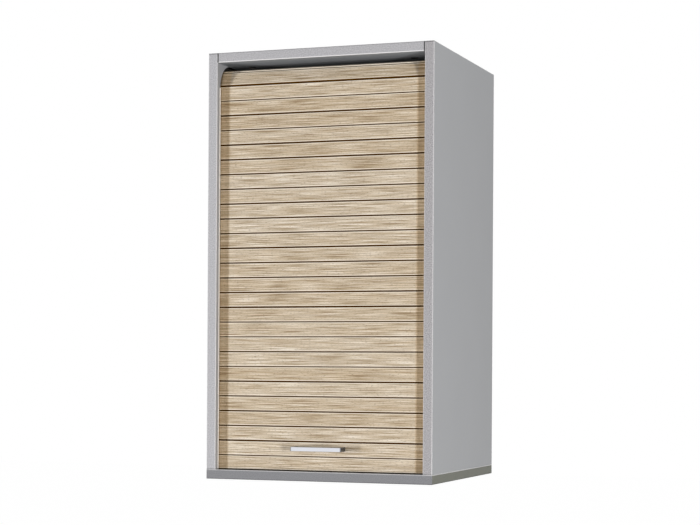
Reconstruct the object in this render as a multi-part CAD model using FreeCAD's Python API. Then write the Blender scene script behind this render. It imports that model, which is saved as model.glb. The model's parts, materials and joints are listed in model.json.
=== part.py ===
import FreeCAD, Part
import math
import os

from FreeCAD import Vector

# A wall cabinet with a roller shutter. Millimetres, +Z up, the front towards -Y.
# The origin lies under the middle of the cabinet's outline, handle included, at the underside.
# A depth is measured from the plane of the front edges towards the wall.

# The carcass
cabinet_width = 400.0
cabinet_depth = 360.0
cabinet_height = 720.0
board = 16.0
edging = 1.0
edging_round = 0.7
cut_overrun = 2.0
fit_clearance = 0.1

# Small round pieces and their holes have flat sides, so that the many repeats stay light
rod_sides = 10

# The shutter's slats, seen in section: a flat face, bevelled arrises and a tapered back
slat_pitch = 25.0
slat_gap = 1.8
slat_thickness = 8.0
slat_bevel = 0.9
slat_edge_flat = 4.2
slat_back_taper = 2.0
slat_end_clearance = 0.8
lead_slats = 2
tail_slats = 4
floor_clearance = 0.3

# The flexible strips that hinge one slat to the next
hinge_depth = 3.0
hinge_web = 1.0
hinge_bead = 2.9
hinge_bead_inset = 3.2
hinge_clearance = 0.15
hinge_end_inset = 2.0
straight_degrees = 0.1

# The soft strip under the lowest slat
seal_floor_clearance = 0.1

# The track routed into both side panels
curtain_setback = 14.0
track_cut = 8.5
track_bend = 41.0
track_inner_bend = 25.5
curtain_bend = 25.25
curtain_hang = 9.4
rear_run_inset = 30.0
run_tries = 60

# The plastic rails that line the front run of the track
rail_wall = 1.2
rail_floor = 1.0
rail_clearance = 0.8
rail_lip = 1.0
rail_front_lip_width = 8.2
rail_rear_lip_width = 4.0

# Blocks that stop the shutter's tail at the end of its travel
stop_height = 20.0
stop_clearance = 1.0

# Thin panels
back_thickness = 3.0
back_recess = 18.0
back_groove_cut = 6.0
inner_panel = 8.0
inner_groove_cut = 5.0
inner_top_gap = 28.0
inner_top_setback = 40.0
false_back_gap = 10.0

# Shelf and its pins
shelf_setback = 32.0
shelf_side_gap = 1.5
shelf_back_gap = 2.0
pin_radius = 2.5
pin_insert = 8.0
pin_reach = 8.0
pin_collar_radius = 4.5
pin_collar = 1.2
pin_hole_cut = 9.0
pin_pitch = 32.0
pin_rows = 5
pin_setback = 36.0
pin_row_base = 288.0
pin_rows_below_shelf = 2

# Cam fittings that hold the top panel
cam_radius = 7.5
cam_height = 12.5
cam_from_end = 37.0
cam_setback = 62.0
cam_rear_inset = 80.0
cam_slot_length = 9.0
cam_slot_width = 1.6
cam_slot_cut = 2.5
cam_pocket_past = 4.0
bolt_thread_radius = 2.5
bolt_thread_length = 11.0
bolt_shank_radius = 3.2
bolt_neck_radius = 1.6
bolt_neck_length = 6.0
bolt_head_radius = 3.0
bolt_head_length = 3.0

# Dowels
dowel_radius = 4.0
dowel_length = 30.0
dowel_in_face = 10.0
dowel_spacing = 32.0
dowel_chamfer = 1.0

# Screws that draw the bottom panel up to the side panels
joint_screw_length = 50.0
joint_screw_radius = 3.5
joint_thread_radius = 2.5
joint_head_radius = 4.8
joint_head_height = 3.0
joint_head_sink = 0.5
joint_key_width = 4.0
joint_key_cut = 3.0
joint_key_sides = 6
joint_screw_setback = 50.0
joint_screw_rear_inset = 110.0

# Steel plates that hang the cabinet on the wall
plate_steel = 2.0
plate_width = 36.0
plate_height = 60.0
plate_flange = 16.0
plate_bend = 3.0
plate_top_gap = 24.0
eye_radius = 6.0
eye_from_side = 21.0
plate_screw_radius = 2.0
plate_screw_length = 14.0
plate_screw_head = 3.8
plate_screw_head_height = 2.2
plate_screw_spacing = 36.0

# Bow handle
handle_width = 91.0
handle_height = 7.0
handle_reach = 22.0
handle_bar = 3.5
handle_leg = 6.5
handle_round = 4.0
handle_inner_round = 2.0
handle_lift = 0.8
handle_screw_radius = 2.0
handle_screw_grip = 12.0
handle_screw_head = 3.8
handle_screw_head_height = 2.4

# Places that follow from the sizes above
inner_x = cabinet_width / 2 - board
under_top = cabinet_height - board
handle_proud = max(handle_reach - curtain_setback, 0)
front_y = handle_proud - (cabinet_depth + handle_proud) / 2
back_y = front_y + cabinet_depth

slat_half_length = inner_x + track_cut - rail_floor - slat_end_clearance
hinge_run_depth = curtain_setback + hinge_depth
lowest_line = board + floor_clearance - slat_gap / 2

track_front = curtain_setback - rail_clearance - rail_wall
track_width = slat_thickness + (rail_clearance + rail_wall) * 2
track_rear = cabinet_depth - rear_run_inset
track_corner = under_top - track_bend

curtain_line = under_top - curtain_hang
curtain_corner = curtain_line - curtain_bend
curtain_quarter = curtain_bend * math.pi / 2
front_run_slats = math.floor((curtain_corner - lowest_line) / slat_pitch)
front_slats = front_run_slats - lead_slats
rear_run_depth = track_rear - (hinge_run_depth - track_front)

false_back_depth = track_rear - track_width - false_back_gap - inner_panel
inner_top_height = under_top - inner_top_gap
back_depth = cabinet_depth - back_recess - back_thickness
shelf_depth_end = false_back_depth - shelf_back_gap
pin_depths = (shelf_setback + pin_setback, shelf_depth_end - pin_setback)
pin_heights = [pin_row_base + pin_pitch * row for row in range(pin_rows)]
shelf_height = pin_heights[pin_rows_below_shelf] + pin_radius

cam_depths = (cam_setback, cabinet_depth - cam_rear_inset)
top_middle = cabinet_height - board / 2
side_middle = cabinet_width / 2 - board / 2
screw_depths = (joint_screw_setback, cabinet_depth - joint_screw_rear_inset)
plate_top = under_top - plate_top_gap
handle_middle = lowest_line + slat_pitch * 1.5 + handle_lift

along_x = Vector(1, 0, 0)
along_y = Vector(0, 1, 0)
along_z = Vector(0, 0, 1)
origin = Vector(0, 0, 0)


def depth_y(depth):
    """The Y of a depth behind the front edges."""
    return front_y + depth


def block(x_low, x_high, depth_low, depth_high, z_low, z_high):
    """A box between two X, two depths and two heights."""
    corner = Vector(x_low, depth_y(depth_low), z_low)
    return Part.makeBox(x_high - x_low, depth_high - depth_low, z_high - z_low, corner)


def ring(radius, along, sides=rod_sides):
    """The closed outline of a small round piece, at a distance along its axis."""
    turn = math.pi * 2 / sides
    return Part.makePolygon([Vector(radius * math.cos(turn * n), radius * math.sin(turn * n), along)
                             for n in range(sides + 1)])


def turned(profile, start, direction):
    """A small round piece: profile holds (distance along the axis, radius) pairs."""
    lengths = []
    for (near, near_radius), (far, far_radius) in zip(profile, profile[1:]):
        if far > near:
            lengths.append(Part.makeLoft([ring(near_radius, near), ring(far_radius, far)],
                                         True, True))
    solid = lengths[0].fuse(lengths[1:]).removeSplitter() if lengths[1:] else lengths[0]
    solid.Placement = FreeCAD.Placement(start, FreeCAD.Rotation(along_z, direction))
    return solid


def rod(radius, length, start, direction):
    """A plain round rod."""
    return turned([(0, radius), (length, radius)], start, direction)


def rod_x(x_low, x_high, depth, z, radius):
    """A round rod along X."""
    return rod(radius, x_high - x_low, Vector(x_low, depth_y(depth), z), along_x)


def rod_y(x, depth_low, depth_high, z, radius):
    """A round rod along Y."""
    return rod(radius, depth_high - depth_low, Vector(x, depth_y(depth_low), z), along_y)


def rod_z(x, depth, z_low, z_high, radius):
    """A round rod along Z."""
    return rod(radius, z_high - z_low, Vector(x, depth_y(depth), z_low), along_z)


def to_left(shape):
    """The same piece on the left of the cabinet."""
    return shape.mirror(origin, along_x)


def both_sides(shape):
    return [shape, to_left(shape)]


def rounded(shape, radius, wanted):
    """Rounds the straight edges that the test picks by their two ends."""
    edges = [edge for edge in shape.Edges if len(edge.Vertexes) == 2
             and wanted(edge.Vertexes[0].Point, edge.Vertexes[1].Point)]
    return shape.makeFillet(radius, edges)


def level(a, b):
    """Whether two coordinates are the same."""
    return abs(a - b) < fit_clearance / 2


def runs_along(first, second, axis):
    """Whether an edge runs along the axis numbered 0, 1 or 2."""
    others = [n for n in range(3) if n != axis]
    return all(level(first[n], second[n]) for n in others)


nodes = {}


def keep(name, solids):
    """Stores one piece, or a set of equal pieces, under the name of its node."""
    if not isinstance(solids, list):
        solids = [solids]
    nodes[name] = solids[0] if len(solids) == 1 else Part.makeCompound(solids)


# The carcass boards

def arc_point(depth, z, radius, degrees):
    """A point of a circle in the plane of a side panel, 0 degrees towards the wall."""
    angle = math.radians(degrees)
    return Vector(0, depth_y(depth + radius * math.cos(angle)), z + radius * math.sin(angle))


def corner_arc(depth, z, radius, start, end):
    """An arc of a circle in the plane of a side panel, from one angle to another."""
    middle = (start + end) / 2
    points = [arc_point(depth, z, radius, angle) for angle in (start, middle, end)]
    return Part.Arc(*points).toShape()


def joined(edges):
    """Arcs with straight runs between them, as one closed wire."""
    pieces = []
    for index, edge in enumerate(edges):
        following = edges[(index + 1) % len(edges)]
        pieces.append(edge)
        start = edge.lastVertex(True).Point
        end = following.firstVertex(True).Point
        if start.distanceToPoint(end) > fit_clearance / 2:
            pieces.append(Part.LineSegment(start, end).toShape())
    return Part.Wire(pieces)


def line_of(depth_a, z_a, depth_b, z_b):
    """A straight edge in the plane of a side panel."""
    return Part.LineSegment(Vector(0, depth_y(depth_a), z_a),
                            Vector(0, depth_y(depth_b), z_b)).toShape()


def track_groove():
    """The shutter's track: up the front, round under the top panel and down behind."""
    low = board - cut_overrun
    wide = track_width
    outer = track_bend
    inner = track_inner_bend
    runs = [
        line_of(track_front, low, track_front, track_corner),
        corner_arc(track_front + outer, track_corner, outer, 180, 90),
        corner_arc(track_rear - outer, track_corner, outer, 90, 0),
        line_of(track_rear, track_corner, track_rear, low),
        line_of(track_rear - wide, low, track_rear - wide, track_corner),
        corner_arc(track_rear - wide - inner, track_corner, inner, 0, 90),
        corner_arc(track_front + wide + inner, track_corner, inner, 90, 180),
        line_of(track_front + wide, track_corner, track_front + wide, low),
    ]
    face = Part.Face(joined(runs))
    face.translate(along_x * (inner_x - cut_overrun))
    return face.extrude(along_x * (track_cut + cut_overrun))


def side_panel():
    """The right side panel with its track, its grooves and every drilled hole."""
    panel = block(inner_x, cabinet_width / 2, edging, cabinet_depth,
                  board, cabinet_height - edging)
    start = inner_x - cut_overrun
    past_top = cabinet_height + cut_overrun
    groove = inner_x + inner_groove_cut
    cuts = [
        track_groove(),
        block(start, inner_x + back_groove_cut, back_depth - fit_clearance,
              back_depth + back_thickness + fit_clearance, board - cut_overrun, past_top),
        block(start, groove, false_back_depth - fit_clearance,
              false_back_depth + inner_panel + fit_clearance,
              board - cut_overrun, inner_top_height - inner_panel),
        block(start, groove, inner_top_setback - fit_clearance,
              false_back_depth + inner_panel + fit_clearance,
              inner_top_height - inner_panel - fit_clearance, inner_top_height + fit_clearance),
    ]
    for depth in pin_depths:
        for height in pin_heights:
            cuts.append(rod_x(start, inner_x + pin_hole_cut, depth, height,
                              pin_radius + fit_clearance))
    for depth in cam_depths:
        cuts.append(rod_x(start, inner_x + bolt_thread_length + fit_clearance, depth,
                          top_middle, bolt_thread_radius + fit_clearance))
        cuts.append(rod_x(start, inner_x + dowel_in_face + fit_clearance,
                          depth + dowel_spacing, top_middle, dowel_radius + fit_clearance))
    for depth in screw_depths:
        cuts.append(rod_z(side_middle, depth, board - cut_overrun,
                          joint_screw_length + joint_head_sink + fit_clearance,
                          joint_thread_radius + fit_clearance))
        cuts.append(rod_z(side_middle, depth + dowel_spacing, board - cut_overrun,
                          board - dowel_in_face + dowel_length + fit_clearance,
                          dowel_radius + fit_clearance))
    for height in plate_screw_heights():
        cuts.append(rod_x(start, inner_x - plate_steel + plate_screw_length + fit_clearance,
                          plate_screw_depth(), height, plate_screw_radius + fit_clearance))
    return panel.cut(cuts)


def top_panel():
    """The top panel, held between the side panels, with cam pockets in its underside."""
    panel = block(-inner_x, inner_x, edging, cabinet_depth, under_top, cabinet_height)
    cuts = [block(-inner_x - cut_overrun, inner_x + cut_overrun, back_depth - fit_clearance,
                  back_depth + back_thickness + fit_clearance,
                  under_top - cut_overrun, under_top + back_groove_cut)]
    cam_x = inner_x - cam_from_end
    for depth in cam_depths:
        pocket = rod_z(cam_x, depth, under_top - cut_overrun,
                       under_top + cam_height + fit_clearance, cam_radius + fit_clearance)
        bolt_way = rod_x(cam_x, inner_x + cut_overrun, depth, top_middle,
                         bolt_shank_radius + fit_clearance)
        dowel_hole = rod_x(inner_x - dowel_length + dowel_in_face - fit_clearance,
                           inner_x + cut_overrun, depth + dowel_spacing, top_middle,
                           dowel_radius + fit_clearance)
        for cut in (pocket, bolt_way, dowel_hole):
            cuts.extend(both_sides(cut))
    return panel.cut(cuts)


def bottom_panel():
    """The bottom panel, which runs under both side panels."""
    end = cabinet_width / 2 - edging
    panel = block(-end, end, edging, cabinet_depth, 0, board)
    cuts = [block(-inner_x - back_groove_cut, inner_x + back_groove_cut,
                  back_depth - fit_clearance, back_depth + back_thickness + fit_clearance,
                  board - back_groove_cut, board + cut_overrun)]
    for depth in screw_depths:
        hole = turned([(-cut_overrun, joint_head_radius + fit_clearance),
                       (joint_head_sink, joint_head_radius + fit_clearance),
                       (joint_head_sink + joint_head_height, joint_screw_radius + fit_clearance),
                       (board + cut_overrun, joint_screw_radius + fit_clearance)],
                      Vector(side_middle, depth_y(depth), 0), along_z)
        dowel_hole = rod_z(side_middle, depth + dowel_spacing,
                           board - dowel_in_face - fit_clearance,
                           board + cut_overrun, dowel_radius + fit_clearance)
        cuts.extend(both_sides(hole) + both_sides(dowel_hole))
    return panel.cut(cuts)


def back_panel():
    """The thin back panel, set in grooves of all four boards, short of the wall."""
    reach = inner_x + back_groove_cut - fit_clearance
    return block(-reach, reach, back_depth, back_depth + back_thickness,
                 board - back_groove_cut + fit_clearance,
                 under_top + back_groove_cut - fit_clearance)


def false_back_panel():
    """The panel that hides the shutter's rear run from the inside."""
    reach = inner_x + inner_groove_cut - fit_clearance
    return block(-reach, reach, false_back_depth, false_back_depth + inner_panel,
                 board, inner_top_height - inner_panel)


def inner_top_panel():
    """The panel that hides the shutter's top run from the inside."""
    reach = inner_x + inner_groove_cut - fit_clearance
    return block(-reach, reach, inner_top_setback, false_back_depth + inner_panel,
                 inner_top_height - inner_panel, inner_top_height)


def front_edging(x_low, x_high, z_low, z_high, axis):
    """A strip of edging on a front edge, with its two long arrises rounded."""
    strip = block(x_low, x_high, 0, edging, z_low, z_high)
    return rounded(strip, edging_round, lambda a, b: runs_along(a, b, axis)
                   and level(a.y, front_y))


def end_edging_bottom():
    """The edging on the right end of the bottom panel."""
    end = cabinet_width / 2
    return block(end - edging, end, edging, cabinet_depth, 0, board)


def end_edging_top():
    """The edging on the upper end of the right side panel."""
    return block(inner_x, cabinet_width / 2, edging, cabinet_depth,
                 cabinet_height - edging, cabinet_height)


# The shelf and its pins

def adjustable_shelf():
    reach = inner_x - shelf_side_gap
    return block(-reach, reach, shelf_setback, shelf_depth_end,
                 shelf_height, shelf_height + board)


def shelf_edging():
    reach = inner_x - shelf_side_gap
    strip = block(-reach, reach, shelf_setback - edging, shelf_setback,
                  shelf_height, shelf_height + board)
    edge_y = depth_y(shelf_setback - edging)
    return rounded(strip, edging_round, lambda a, b: runs_along(a, b, 0)
                   and level(a.y, edge_y))


def shelf_pin(depth):
    """A steel pin: a peg in the side panel, a collar against it and a peg under the shelf."""
    height = pin_heights[pin_rows_below_shelf]
    return turned([(-pin_insert, pin_radius), (0, pin_radius), (0, pin_collar_radius),
                   (pin_collar, pin_collar_radius), (pin_collar, pin_radius),
                   (pin_reach, pin_radius)],
                  Vector(inner_x, depth_y(depth), height), Vector(-1, 0, 0))


# The fittings that hold the carcass together

def cam_lock(depth):
    """A turned cam in the top panel, open at one side for the bolt's head, slotted below."""
    cam_x = inner_x - cam_from_end
    body = rod_z(cam_x, depth, under_top, under_top + cam_height, cam_radius)
    way = rod_x(cam_x - cam_pocket_past, cam_x + cam_radius + cut_overrun, depth,
                top_middle, bolt_shank_radius + fit_clearance)
    half_long = cam_slot_length / 2
    half_wide = cam_slot_width / 2
    slots = [block(cam_x - a, cam_x + a, depth - b, depth + b,
                   under_top - cut_overrun, under_top + cam_slot_cut)
             for a, b in ((half_long, half_wide), (half_wide, half_long))]
    return body.cut([way] + slots)


def cam_bolt(depth):
    """A steel bolt: its thread in the side panel, its necked head in the cam."""
    head_end = cam_from_end + bolt_head_length / 2
    neck_start = head_end - bolt_head_length - bolt_neck_length
    return turned([(-bolt_thread_length, bolt_thread_radius), (0, bolt_thread_radius),
                   (0, bolt_shank_radius), (neck_start, bolt_shank_radius),
                   (neck_start, bolt_neck_radius),
                   (head_end - bolt_head_length, bolt_neck_radius),
                   (head_end - bolt_head_length, bolt_head_radius),
                   (head_end, bolt_head_radius)],
                  Vector(inner_x, depth_y(depth), top_middle), Vector(-1, 0, 0))


def dowel(start, direction):
    """A beech dowel with chamfered ends."""
    tip = dowel_radius - dowel_chamfer
    return turned([(0, tip), (dowel_chamfer, dowel_radius),
                   (dowel_length - dowel_chamfer, dowel_radius), (dowel_length, tip)],
                  start, direction)


def dowels():
    pieces = []
    for depth in cam_depths:
        start = Vector(inner_x + dowel_in_face, depth_y(depth + dowel_spacing), top_middle)
        pieces.extend(both_sides(dowel(start, Vector(-1, 0, 0))))
    for depth in screw_depths:
        start = Vector(side_middle, depth_y(depth + dowel_spacing), board - dowel_in_face)
        pieces.extend(both_sides(dowel(start, along_z)))
    return pieces


def joint_screw(depth):
    """A connecting screw with a flat head and a hexagon socket, driven up from below."""
    tip = joint_thread_radius / 2
    screw = turned([(0, joint_head_radius), (joint_head_height, joint_screw_radius),
                    (board - joint_head_sink, joint_screw_radius),
                    (board - joint_head_sink, joint_thread_radius),
                    (joint_screw_length - joint_thread_radius, joint_thread_radius),
                    (joint_screw_length, tip)],
                   Vector(side_middle, depth_y(depth), joint_head_sink), along_z)
    key_corner = joint_key_width / 2 / math.cos(math.pi / joint_key_sides)
    socket = Part.Face(ring(key_corner, joint_head_sink - cut_overrun, joint_key_sides))
    socket.translate(Vector(side_middle, depth_y(depth), 0))
    return screw.cut(socket.extrude(along_z * (joint_key_cut + cut_overrun)))


# The plates that hang the cabinet

def plate_screw_heights():
    middle = plate_top - plate_height / 2
    return (middle - plate_screw_spacing / 2, middle + plate_screw_spacing / 2)


def plate_screw_depth():
    """The screws stand in the middle of the flange's flat part."""
    return cabinet_depth - (plate_flange + plate_steel + plate_bend) / 2


def hanging_plate():
    """An angle plate in the recess behind the back panel, with an eye in the wall's plane."""
    low = plate_top - plate_height
    outer = block(inner_x - plate_width, inner_x, cabinet_depth - plate_flange,
                  cabinet_depth, low, plate_top)
    outer = rounded(outer, plate_bend, lambda a, b: runs_along(a, b, 2)
                    and level(a.x, inner_x) and level(a.y, back_y))
    inside = block(inner_x - plate_width - cut_overrun, inner_x - plate_steel,
                   cabinet_depth - plate_flange - cut_overrun, cabinet_depth - plate_steel,
                   low - cut_overrun, plate_top + cut_overrun)
    eye = Part.makeCylinder(eye_radius, plate_flange,
                            Vector(inner_x - eye_from_side, back_y - plate_flange / 2,
                                   plate_top - plate_height / 2), along_y)
    holes = [rod_x(inner_x - plate_width, inner_x + cut_overrun, plate_screw_depth(), height,
                   plate_screw_radius + fit_clearance) for height in plate_screw_heights()]
    return outer.cut([inside, eye] + holes)


def plate_screw(height):
    """A pan-head wood screw through the flange into the side panel."""
    under_head = inner_x - plate_steel
    tip = plate_screw_radius / 4
    return turned([(-plate_screw_head_height, plate_screw_head / 2),
                   (-plate_screw_head_height / 2, plate_screw_head), (0, plate_screw_head),
                   (0, plate_screw_radius),
                   (plate_screw_length - plate_screw_radius * 2, plate_screw_radius),
                   (plate_screw_length, tip)],
                  Vector(under_head, depth_y(plate_screw_depth()), height), along_x)


# The rails and stops in the track

def guide_rail():
    """A plastic channel in the track's front run, with lips over the panel's inner face."""
    bottom = inner_x + track_cut
    face = inner_x - rail_lip
    channel = block(face, bottom, track_front, track_front + track_width,
                    board, track_corner)
    way = block(face - cut_overrun, bottom - rail_floor, track_front + rail_wall,
                track_front + track_width - rail_wall,
                board - cut_overrun, track_corner + cut_overrun)
    front_lip = block(face, inner_x, track_front + rail_wall - rail_front_lip_width,
                      track_front + rail_wall, board, track_corner)
    rear_lip = block(face, inner_x, track_front + track_width - rail_wall,
                     track_front + track_width - rail_wall + rail_rear_lip_width,
                     board, track_corner)
    return channel.cut(way).fuse([front_lip, rear_lip]).removeSplitter()


def travel_stop():
    """A block in the rear run, just below where the open shutter's tail ends."""
    run = hinge_runs[-1] + front_slats * slat_pitch
    before_rear = curtain_quarter * 2 + (rear_run_depth - hinge_run_depth - curtain_bend * 2)
    top = curtain_corner - (run - before_rear) - stop_clearance
    return block(inner_x, inner_x + track_cut, track_rear - track_width + fit_clearance,
                 track_rear - fit_clearance, top - stop_height, top)


# The shutter

def hinge_point(run):
    """The hinge line's depth and height at a distance past the start of the front bend."""
    if run < 0:
        return hinge_run_depth, curtain_corner + run
    if run < curtain_quarter:
        angle = run / curtain_bend
        return (hinge_run_depth + curtain_bend * (1 - math.cos(angle)),
                curtain_corner + curtain_bend * math.sin(angle))
    return hinge_run_depth + curtain_bend + run - curtain_quarter, curtain_line


def next_run(run):
    """How far along the hinge line the next hinge lies, one slat pitch away in a straight line."""
    start = hinge_point(run)
    near = run
    far = run + slat_pitch * 2
    for _ in range(run_tries):
        middle = (near + far) / 2
        if math.dist(start, hinge_point(middle)) < slat_pitch:
            near = middle
        else:
            far = middle
    return near


hinge_runs = [lowest_line + front_run_slats * slat_pitch - curtain_corner]
for _ in range(tail_slats):
    hinge_runs.append(next_run(hinge_runs[-1]))

# Every hinge of the shutter, from the lowest slat's lower edge to the end of the tail
hinges = [(hinge_run_depth, lowest_line + slat_pitch * n) for n in range(front_run_slats)]
hinges += [hinge_point(run) for run in hinge_runs]


def lean(index):
    """How far the slat above a hinge leans back from upright, in degrees."""
    depth_a, z_a = hinges[index]
    depth_b, z_b = hinges[index + 1]
    return math.degrees(math.atan2(depth_b - depth_a, z_b - z_a))


def at_hinge(shape, index, degrees):
    """Turns a piece made at the origin back by an angle and moves it to a hinge."""
    placed = shape.copy()
    placed.rotate(origin, along_x, -degrees)
    depth, z = hinges[index]
    placed.translate(Vector(0, depth_y(depth), z))
    return placed


def bar_x(half_length, y_low, y_high, z_low, z_high):
    """A box across the cabinet, made at the origin."""
    return Part.makeBox(half_length * 2, y_high - y_low, z_high - z_low,
                        Vector(-half_length, y_low, z_low))


def bead_x(half_length, z, width):
    """A square bar across the cabinet in the hinge plane, made at the origin."""
    half = width / 2
    return bar_x(half_length, -half, half, z - half, z + half)


def slat():
    """One slat, standing on its lower hinge, with a T-shaped slot along each edge."""
    low = slat_gap / 2
    high = slat_pitch - slat_gap / 2
    face = -hinge_depth
    bevel = face + slat_bevel
    flat = slat_edge_flat - hinge_depth
    rear = slat_thickness - hinge_depth
    outline = [(face, low + slat_bevel), (face, high - slat_bevel), (bevel, high), (flat, high),
               (rear, high - slat_back_taper), (rear, low + slat_back_taper), (flat, low),
               (bevel, low), (face, low + slat_bevel)]
    points = [Vector(-slat_half_length, y, z) for y, z in outline]
    solid = Part.Face(Part.makePolygon(points)).extrude(along_x * (slat_half_length * 2))
    past = slat_half_length + cut_overrun
    neck = hinge_web / 2 + hinge_clearance
    bead = hinge_bead + hinge_clearance * 2
    cuts = [bar_x(past, -neck, neck, low - cut_overrun, low + hinge_bead_inset),
            bar_x(past, -neck, neck, high - hinge_bead_inset, high + cut_overrun),
            bead_x(past, low + hinge_bead_inset, bead),
            bead_x(past, high - hinge_bead_inset, bead)]
    return solid.cut(cuts)


def hinge_half(direction):
    """Half of a hinge strip: its web and the bead at the web's end, up or down."""
    half_length = slat_half_length - hinge_end_inset
    reach = (slat_gap / 2 + hinge_bead_inset) * direction
    web = bar_x(half_length, -hinge_web / 2, hinge_web / 2, min(reach, 0), max(reach, 0))
    return web.fuse(bead_x(half_length, reach, hinge_bead))


def hinge_strip(index):
    """The strip at one hinge, bent where the slats on its two sides lean differently."""
    half_length = slat_half_length - hinge_end_inset
    lower = at_hinge(hinge_half(-1), index, lean(index - 1))
    upper = at_hinge(hinge_half(1), index, lean(index))
    if abs(lean(index) - lean(index - 1)) < straight_degrees:
        return lower.fuse(upper).removeSplitter()
    core = at_hinge(rod(hinge_web / 2, half_length * 2, Vector(-half_length, 0, 0), along_x),
                    index, lean(index))
    return lower.fuse([upper, core]).removeSplitter()


def bottom_seal():
    """The soft strip in the lowest slat's lower slot, which ends just above the floor."""
    half_length = slat_half_length - hinge_end_inset
    slot_z = slat_gap / 2 + hinge_bead_inset
    tip = slat_gap / 2 - floor_clearance + seal_floor_clearance
    web = bar_x(half_length, -hinge_web / 2, hinge_web / 2, tip, slot_z)
    seal = web.fuse(bead_x(half_length, slot_z, hinge_bead))
    return at_hinge(seal.removeSplitter(), 0, 0)


def handle_leg_x():
    return handle_width / 2 - handle_leg / 2


def handle_slat():
    """The second slat from the bottom, drilled for the handle's screws."""
    solid = at_hinge(slat(), 1, 0)
    holes = [rod_y(x, curtain_setback - cut_overrun,
                   curtain_setback + slat_thickness + cut_overrun, handle_middle,
                   handle_screw_radius + fit_clearance)
             for x in (-handle_leg_x(), handle_leg_x())]
    return solid.cut(holes)


def handle():
    """A bow of flat metal bar, tapped at both feet."""
    half = handle_width / 2
    low = handle_middle - handle_height / 2
    high = handle_middle + handle_height / 2
    front = curtain_setback - handle_reach
    bow = block(-half, half, front, curtain_setback, low, high)
    bow = rounded(bow, handle_round, lambda a, b: runs_along(a, b, 2)
                  and level(a.y, depth_y(front)))
    inside = block(-half + handle_leg, half - handle_leg, front + handle_bar,
                   curtain_setback + cut_overrun, low - cut_overrun, high + cut_overrun)
    inside = rounded(inside, handle_inner_round, lambda a, b: runs_along(a, b, 2)
                     and level(a.y, depth_y(front + handle_bar)))
    holes = [rod_y(x, curtain_setback - handle_screw_grip - fit_clearance,
                   curtain_setback + cut_overrun, handle_middle,
                   handle_screw_radius + fit_clearance)
             for x in (-handle_leg_x(), handle_leg_x())]
    return bow.cut([inside] + holes)


def handle_screw(x):
    """A machine screw from the back of the slat into a foot of the handle."""
    under_head = curtain_setback + slat_thickness
    length = slat_thickness + handle_screw_grip
    return turned([(-handle_screw_head_height, handle_screw_head / 2),
                   (-handle_screw_head_height / 2, handle_screw_head), (0, handle_screw_head),
                   (0, handle_screw_radius), (length, handle_screw_radius)],
                  Vector(x, depth_y(under_head), handle_middle), Vector(0, -1, 0))


# All pieces by name

keep("right_side_panel", side_panel())
keep("left_side_panel", to_left(nodes["right_side_panel"]))
keep("top_panel", top_panel())
keep("bottom_panel", bottom_panel())
keep("back_panel", back_panel())
keep("false_back_panel", false_back_panel())
keep("inner_top_panel", inner_top_panel())

keep("right_front_edging", front_edging(inner_x, cabinet_width / 2, board, cabinet_height, 2))
keep("left_front_edging", to_left(nodes["right_front_edging"]))
keep("top_front_edging", front_edging(-inner_x, inner_x, under_top, cabinet_height, 0))
keep("bottom_front_edging",
     front_edging(-cabinet_width / 2, cabinet_width / 2, 0, board, 0))
keep("end_edgings", both_sides(end_edging_bottom()) + both_sides(end_edging_top()))

keep("adjustable_shelf", adjustable_shelf())
keep("shelf_edging", shelf_edging())
keep("shelf_pins", [pin for depth in pin_depths for pin in both_sides(shelf_pin(depth))])

keep("cam_locks", [cam for depth in cam_depths for cam in both_sides(cam_lock(depth))])
keep("cam_bolts", [bolt for depth in cam_depths for bolt in both_sides(cam_bolt(depth))])
keep("dowels", dowels())
keep("joint_screws", [one for depth in screw_depths for one in both_sides(joint_screw(depth))])

keep("hanging_plates", both_sides(hanging_plate()))
keep("hanging_plate_screws",
     [one for height in plate_screw_heights() for one in both_sides(plate_screw(height))])

keep("right_guide_rail", guide_rail())
keep("left_guide_rail", to_left(nodes["right_guide_rail"]))
keep("travel_stops", both_sides(travel_stop()))

keep("bottom_slat", at_hinge(slat(), 0, 0))
keep("handle_slat", handle_slat())
keep("lead_hinge_strip", hinge_strip(1))
keep("bottom_seal", bottom_seal())
keep("handle", handle())
keep("handle_screws", [handle_screw(x) for x in (-handle_leg_x(), handle_leg_x())])

for number in range(front_slats):
    index = lead_slats + number
    keep(f"front_slat_{number + 1:02d}", at_hinge(slat(), index, 0))
keep("front_hinge_strips",
     [hinge_strip(lead_slats + number) for number in range(front_slats)])

for number in range(tail_slats):
    index = front_run_slats + number
    keep(f"tail_slat_{number + 1}", at_hinge(slat(), index, lean(index)))
keep("tail_hinge_strips",
     [hinge_strip(front_run_slats + number) for number in range(tail_slats)])

os.makedirs("parts", exist_ok=True)
for name, shape in nodes.items():
    shape.exportStep(f"parts/{name}.step")

print("pieces in their own node:", len(nodes))
print("front slats:", front_slats, "travel:", front_slats * slat_pitch)
for depth, z in hinges[front_run_slats:]:
    print("tail hinge at depth", round(depth, 2), "height", round(z, 2))
print("all solids valid:", all(shape.isValid() for shape in nodes.values()))
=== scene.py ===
# %% [markdown]
# # A wall cabinet with a roller shutter
# The CAD model is the fixed frame of this scene: every board, rail and slat already has its real
# size and place, in metres, and this file only gives each piece the form and the finish that the
# eye sees. It is loaded first, and its box is kept, because nothing made here may leave it.
# The front faces -Y, +X is on the right of someone who faces the cabinet, and Z is up. The sizes
# that many cells share are written here once, in millimetres: the two faces of a side panel, the
# thickness of a board, the cabinet's height and the place of its front.

import json
import math

import bpy
import numpy as np
from mathutils import Matrix, Vector


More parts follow.
